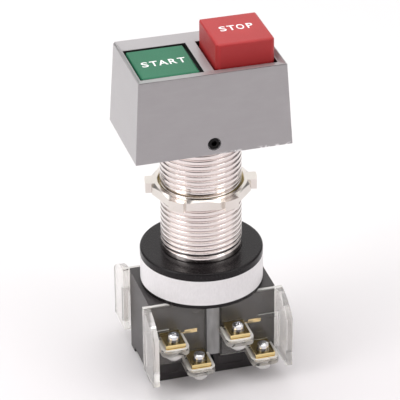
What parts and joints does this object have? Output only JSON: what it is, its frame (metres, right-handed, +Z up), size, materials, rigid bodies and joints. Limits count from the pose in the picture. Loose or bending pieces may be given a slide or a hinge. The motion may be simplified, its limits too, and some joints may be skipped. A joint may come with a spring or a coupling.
{
  "type": "double push button",
  "caption": "Push button pair: flush green START and raised red STOP in a tapered metal head, on a threaded sleeve with lock nut, over contact blocks with clear terminal covers",
  "frame": {"origin": "on the sleeve's axis, in the plane of the contact blocks' feet, which is the middle of the underside of the bounding box", "axes": "+Z up through the buttons, +X from START to STOP, -Y to the front with the set screw"},
  "size_m": [0.0584, 0.056, 0.1352],
  "materials": {
    "head_grey": "fine grained silver grey paint",
    "base_metal": "plain cast, dull",
    "guide_black": "moulded, matt",
    "screw_black": "black oxide",
    "nickel": "bright nickel plate on a cut thread",
    "nut_nickel": "satin nickel plate",
    "spring_steel": "drawn wire and strip",
    "guide_nylon": "moulded, natural",
    "seal_rubber": "matt black",
    "disc_black": "satin black moulding",
    "label_white": "bare white paper label",
    "start_green": "satin green moulding",
    "stop_red": "satin red moulding",
    "rod_steel": "drawn steel",
    "case_black": "matt black moulding",
    "clear_plastic": "clear, slightly warm",
    "brass": "rolled strip",
    "screw_steel": "zinc plated",
    "link_grey": "frosted grey",
    "plunger_brown": "moulded"
  },
  "bodies": {
    "fixed_group": {"head_housing": "head_grey", "head_base": "base_metal", "button_guide": "guide_black", "set_screw": "screw_black", "threaded_sleeve": "nickel", "retaining_ring": "spring_steel", "start_spring": "spring_steel", "stop_spring": "spring_steel", "left_plunger_spring": "spring_steel", "right_plunger_spring": "spring_steel", "spring_washers": "spring_steel", "rod_guide": "guide_nylon", "rod_seals": "seal_rubber", "base_disc": "disc_black", "label_band": "label_white", "left_upper_case": "case_black", "left_lower_case": "case_black", "right_upper_case": "case_black", "right_lower_case": "case_black", "left_front_cover": "clear_plastic", "left_back_cover": "clear_plastic", "right_front_cover": "clear_plastic", "right_back_cover": "clear_plastic", "left_terminals": "brass", "right_terminals": "brass", "left_terminal_screws": "screw_steel", "right_terminal_screws": "screw_steel", "left_washers": "screw_steel", "right_washers": "screw_steel", "block_screws": "screw_steel", "block_links": "link_grey"},
    "start_press_group": {"start_button": "start_green", "start_push_rod": "rod_steel", "start_rod_clip": "spring_steel"},
    "stop_press_group": {"stop_button": "stop_red", "stop_push_rod": "rod_steel", "stop_rod_clip": "spring_steel"},
    "left_contact_group": {"left_plunger": "plunger_brown", "left_bridges": "brass", "left_contact_springs": "spring_steel"},
    "right_contact_group": {"right_plunger": "plunger_brown", "right_bridges": "brass", "right_contact_springs": "spring_steel"},
    "lock_nut_group": {"lock_nut": "nut_nickel"}
  },
  "joints": [
    {"name": "start_press", "type": "slide", "parent": "fixed_group", "child": "start_press_group", "axis": [0, 0, -1], "range_m": [0, 0.005], "stiffness_N_per_m": 1500, "springref_m": -0.004, "deforming": ["start_spring"]},
    {"name": "stop_press", "type": "slide", "parent": "fixed_group", "child": "stop_press_group", "axis": [0, 0, -1], "range_m": [0, 0.005], "stiffness_N_per_m": 1500, "springref_m": -0.004, "deforming": ["stop_spring"]},
    {"name": "left_contact_press", "type": "slide", "parent": "fixed_group", "child": "left_contact_group", "axis": [0, 0, -1], "range_m": [0, 0.005], "deforming": ["left_plunger_spring"]},
    {"name": "right_contact_press", "type": "slide", "parent": "fixed_group", "child": "right_contact_group", "axis": [0, 0, -1], "range_m": [0, 0.005], "deforming": ["right_plunger_spring"]},
    {"name": "lock_nut_turn", "type": "hinge", "parent": "fixed_group", "child": "lock_nut_group", "pos_m": [0, 0, 0.0745], "axis": [0, 0, 1], "continuous": true}
  ],
  "couplings": [
    {"joint": "left_contact_press", "follows": "start_press", "ratio": 1},
    {"joint": "right_contact_press", "follows": "stop_press", "ratio": 1}
  ]
}
